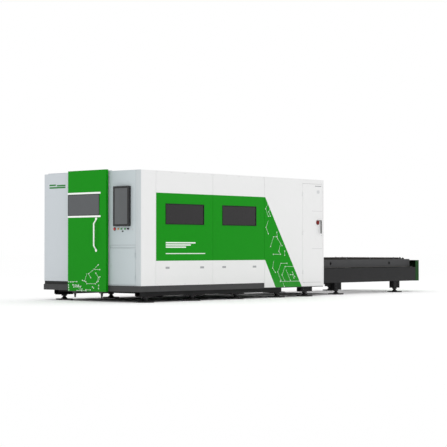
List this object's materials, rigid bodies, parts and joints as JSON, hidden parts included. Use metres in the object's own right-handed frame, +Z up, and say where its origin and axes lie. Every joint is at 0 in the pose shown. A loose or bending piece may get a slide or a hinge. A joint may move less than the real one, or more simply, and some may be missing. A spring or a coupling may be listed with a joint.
{
  "type": "fiber laser cutting machine",
  "caption": "Enclosed sheet-metal laser cutter: cabin with sliding door, gantry and head inside, and a two-level pallet exchange table at one end.",
  "frame": {"origin": "on the floor, under the middle of the machine's footprint box", "axes": "+X along the machine from the operator's end to the exchange table, -Y the front with the windows, +Z up"},
  "size_m": [8.643, 2.5199, 2.227],
  "materials": {
    "cabin_white": "fine-textured powder coat, white with a green printed band on the front panels",
    "roof_white": "powder coat",
    "door_green": "satin powder coat",
    "end_grey": "fine-textured powder coat",
    "console_grey": "fine-textured powder coat",
    "plinth_dark": "satin powder coat",
    "frame_dark": "enamel",
    "bed_grey": "enamel",
    "smoked_glass": "dark laser-safe acrylic",
    "door_glass": "grey laser-safe acrylic",
    "screen_glass": "anti-glare display glass",
    "monitor_black": "matt moulded plastic",
    "trim_white": "gloss paint",
    "stop_red": "moulded plastic",
    "button_amber": "moulded plastic",
    "button_green": "moulded plastic",
    "key_black": "moulded plastic",
    "lever_dark": "textured moulded plastic",
    "switch_red": "moulded plastic",
    "latch_dark": "textured moulded plastic",
    "keyboard_black": "moulded keys",
    "rail_steel": "ground",
    "slat_steel": "hot-rolled, scaled",
    "machined_alloy": "anodised",
    "motor_black": "satin paint",
    "nozzle_copper": "turned copper",
    "duct_zinc": "galvanised",
    "chain_steel": "oiled"
  },
  "bodies": {
    "machine": {"back_panels": "cabin_white", "base_beams": "frame_dark", "bed_beams": "bed_grey", "cabin_frame": "bed_grey", "cabinet_front_panel": "cabin_white", "corner_panel": "cabin_white", "door_track": "frame_dark", "doorway_frame": "end_grey", "drive_cabinet": "end_grey", "end_panel": "end_grey", "exchange_chains": "chain_steel", "exchange_motor": "motor_black", "exhaust_spigots": "duct_zinc", "foot_brackets": "frame_dark", "front_panel_left": "cabin_white", "front_panel_right": "cabin_white", "front_windows": "smoked_glass", "gantry_rails": "rail_steel", "laser_source": "end_grey", "levelling_feet": "frame_dark", "monitor_glass": "screen_glass", "monitor_housing": "monitor_black", "operator_panel": "console_grey", "pallet_tracks": "rail_steel", "panel_latches": "latch_dark", "plinth_covers": "plinth_dark", "roof_panels": "roof_white", "room_partition": "bed_grey", "table_beams": "frame_dark", "table_covers": "plinth_dark", "table_end_cover": "door_green", "table_end_panels": "cabin_white"},
    "sliding_door": {"sliding_door_leaf": "door_green", "sliding_door_window": "door_glass", "sliding_door_trims": "trim_white", "sliding_door_handle": "trim_white", "sliding_door_hangers": "frame_dark"},
    "cabinet_door": {"cabinet_door": "cabin_white"},
    "cabinet_lever": {"cabinet_door_lever": "lever_dark"},
    "main_switch": {"main_switch": "switch_red"},
    "console_door": {"console_door": "console_grey"},
    "keyboard_drawer": {"keyboard_drawer": "console_grey", "keyboard": "keyboard_black"},
    "emergency_stop": {"emergency_stop": "stop_red"},
    "pause_button": {"pause_button": "button_amber"},
    "start_button": {"start_button": "button_green"},
    "reset_button": {"reset_button": "button_green"},
    "key_switch": {"key_switch": "key_black"},
    "gantry": {"gantry_beam": "machined_alloy", "gantry_trucks": "machined_alloy", "gantry_motors": "motor_black"},
    "carriage": {"carriage": "machined_alloy"},
    "cutting_head": {"head_slide": "machined_alloy", "laser_head": "motor_black", "nozzle": "nozzle_copper"},
    "upper_pallet": {"upper_pallet_frame": "plinth_dark", "upper_pallet_slats": "slat_steel"},
    "lower_pallet": {"lower_pallet_frame": "plinth_dark", "lower_pallet_slats": "slat_steel"},
    "exchange_shaft": {"exchange_shaft": "rail_steel"}
  },
  "joints": [
    {"name": "sliding_door_slide", "type": "slide", "parent": "machine", "child": "sliding_door", "axis": [0, 1, 0], "range_m": [0, 0.7]},
    {"name": "cabinet_door_hinge", "type": "hinge", "parent": "machine", "child": "cabinet_door", "pos_m": [0.068, -1.2168, 1.19], "axis": [0, 0, -1], "range_deg": [0, 110]},
    {"name": "cabinet_lever_turn", "type": "hinge", "parent": "cabinet_door", "child": "cabinet_lever", "pos_m": [0.5765, -1.21, 1.424], "axis": [0, -1, 0], "range_deg": [0, 90]},
    {"name": "main_switch_turn", "type": "hinge", "parent": "cabinet_door", "child": "main_switch", "pos_m": [0.5165, -1.21, 1.391], "axis": [0, -1, 0], "range_deg": [0, 90]},
    {"name": "console_door_hinge", "type": "hinge", "parent": "machine", "child": "console_door", "pos_m": [-4.1903, -1.0985, 0.6], "axis": [0, 0, 1], "range_deg": [0, 110]},
    {"name": "keyboard_drawer_slide", "type": "slide", "parent": "machine", "child": "keyboard_drawer", "axis": [-1, 0, 0], "range_m": [0, 0.26]},
    {"name": "emergency_stop_press", "type": "slide", "parent": "machine", "child": "emergency_stop", "axis": [1, 0, 0], "range_m": [0, 0.004]},
    {"name": "pause_button_press", "type": "slide", "parent": "machine", "child": "pause_button", "axis": [1, 0, 0], "range_m": [0, 0.004], "stiffness_N_per_m": 600},
    {"name": "start_button_press", "type": "slide", "parent": "machine", "child": "start_button", "axis": [1, 0, 0], "range_m": [0, 0.004], "stiffness_N_per_m": 600},
    {"name": "reset_button_press", "type": "slide", "parent": "machine", "child": "reset_button", "axis": [1, 0, 0], "range_m": [0, 0.004], "stiffness_N_per_m": 600},
    {"name": "key_switch_turn", "type": "hinge", "parent": "machine", "child": "key_switch", "pos_m": [-4.1835, -0.938, 1.224], "axis": [-1, 0, 0], "range_deg": [0, 90]},
    {"name": "gantry_travel", "type": "slide", "parent": "machine", "child": "gantry", "axis": [1, 0, 0], "range_m": [0, 2.9]},
    {"name": "carriage_travel", "type": "slide", "parent": "gantry", "child": "carriage", "axis": [0, 1, 0], "range_m": [0, 1.46]},
    {"name": "head_travel", "type": "slide", "parent": "carriage", "child": "cutting_head", "axis": [0, 0, 1], "range_m": [-0.26, 0.08]},
    {"name": "upper_pallet_exchange", "type": "slide", "parent": "machine", "child": "upper_pallet", "axis": [-1, 0, 0], "range_m": [0, 4.54]},
    {"name": "lower_pallet_exchange", "type": "slide", "parent": "machine", "child": "lower_pallet", "axis": [1, 0, 0], "range_m": [0, 4.54]},
    {"name": "exchange_shaft_turn", "type": "hinge", "parent": "machine", "child": "exchange_shaft", "pos_m": [4.1515, -0.01, 0.41], "axis": [0, -1, 0], "range_deg": [0, 2234]}
  ],
  "couplings": [
    {"joint": "lower_pallet_exchange", "follows": "upper_pallet_exchange", "ratio": 1},
    {"joint": "exchange_shaft_turn", "follows": "upper_pallet_exchange", "rad_per_m": 8.5837}
  ]
}
